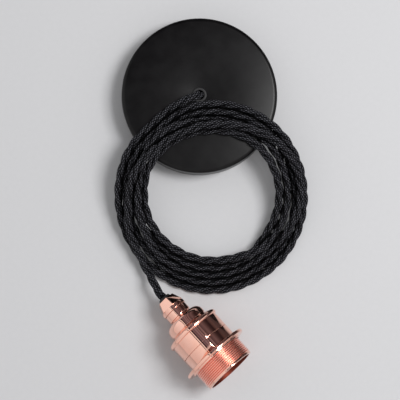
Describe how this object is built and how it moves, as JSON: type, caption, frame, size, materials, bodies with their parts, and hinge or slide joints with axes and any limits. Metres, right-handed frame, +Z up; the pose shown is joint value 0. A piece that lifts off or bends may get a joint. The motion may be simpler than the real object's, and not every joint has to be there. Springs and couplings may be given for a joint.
{
  "type": "pendant cord set",
  "caption": "Pendant cord set: round black ceiling rose, coiled twisted braided flex and a polished copper lampholder with cord grip and shade ring.",
  "frame": {"origin": "centre of the ceiling rose's back, on the table plane, at the underside of the mounting strap", "axes": "+Z up out of the rose's face; +Y from the lampholder's open end back along its axis; +X across, from the lampholder towards the rose; rose and lampholder rest on the XY plane"},
  "size_m": [0.1988, 0.2177, 0.0506],
  "materials": {
    "black_powder_coat": "satin black powder coat on steel",
    "black_nylon": "matt black nylon",
    "zinc_steel": "bright zinc plate",
    "brass": "plain brass",
    "polished_copper": "polished copper plate on brass",
    "block_nylon": "natural nylon",
    "black_phenolic": "moulded black phenolic",
    "black_braid": "black braided textile over each core"
  },
  "bodies": {
    "root": {"rose_cover": "black_powder_coat", "outlet_bush": "black_nylon", "mounting_strap": "zinc_steel", "side_screw_1": "zinc_steel", "side_screw_2": "zinc_steel", "cord_clamp": "zinc_steel", "clamp_screw_1": "zinc_steel", "clamp_screw_2": "zinc_steel", "earth_washer": "brass", "earth_screw": "brass", "terminal_block": "block_nylon", "block_screw": "zinc_steel", "pole_tube_1": "brass", "pole_tube_2": "brass", "pole_tube_3": "brass", "pole_screw_1": "brass", "pole_screw_2": "brass", "pole_screw_3": "brass", "pole_screw_4": "brass", "pole_screw_5": "brass", "pole_screw_6": "brass", "live_core_rose": "black_braid", "earth_core_rose": "black_braid", "neutral_core_rose": "black_braid", "grip_bush": "black_nylon", "grip_nut": "polished_copper", "grip_body": "polished_copper", "holder_cap": "polished_copper", "threaded_skirt": "polished_copper", "shade_ring": "polished_copper", "insulator": "black_phenolic", "screw_shell": "brass", "centre_contact": "brass", "live_terminal": "brass", "earth_terminal": "brass", "neutral_terminal": "brass", "live_terminal_screw": "zinc_steel", "earth_terminal_screw": "zinc_steel", "neutral_terminal_screw": "zinc_steel", "live_core_holder": "black_braid", "earth_core_holder": "black_braid", "neutral_core_holder": "black_braid", "flex_exit": "black_braid", "flex_coil": "black_braid", "flex_tail": "black_braid"}
  },
  "joints": []
}
